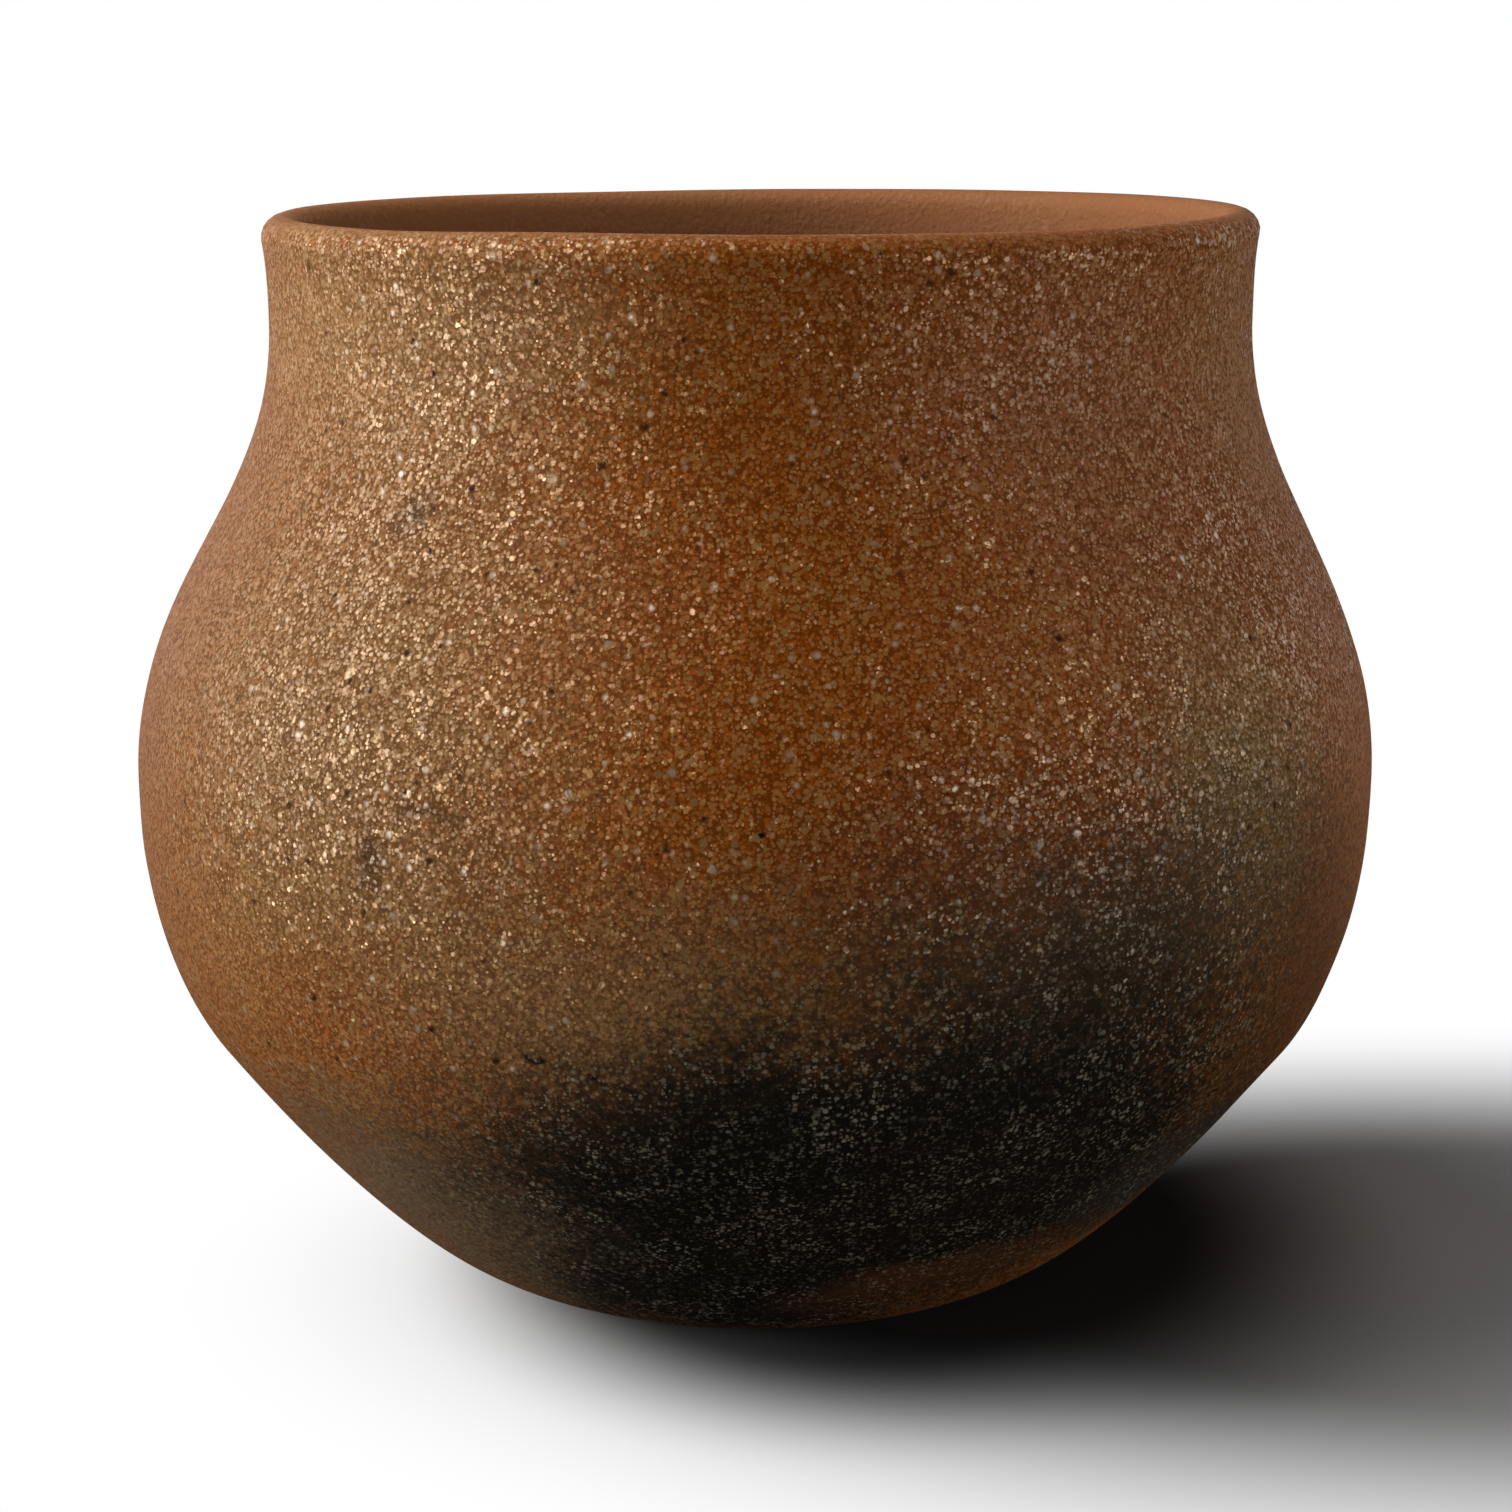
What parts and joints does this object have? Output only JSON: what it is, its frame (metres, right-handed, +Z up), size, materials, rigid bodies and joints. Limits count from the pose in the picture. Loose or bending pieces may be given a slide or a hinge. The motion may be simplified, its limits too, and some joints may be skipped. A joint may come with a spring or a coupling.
{
  "type": "clay olla",
  "caption": "Round unglazed cooking pot of mica clay with a wide belly, a short flared neck and a rounded lip, coil built on a moulded base and marked by fire clouds.",
  "frame": {"origin": "middle of the flat foot, on the surface that the pot stands on", "axes": "+Z up along the pot's axis; the pictured side faces -Y"},
  "size_m": [0.2, 0.2, 0.1708],
  "materials": {
    "mica_clay": "scraped and rubbed, unglazed, fired in the open with black fire clouds"
  },
  "bodies": {
    "root": {"base_bowl": "mica_clay", "belly_coil_1": "mica_clay", "belly_coil_2": "mica_clay", "belly_coil_3": "mica_clay", "shoulder_coil_1": "mica_clay", "shoulder_coil_2": "mica_clay", "shoulder_coil_3": "mica_clay", "shoulder_coil_4": "mica_clay", "shoulder_coil_5": "mica_clay", "rim_coil": "mica_clay"}
  },
  "joints": []
}
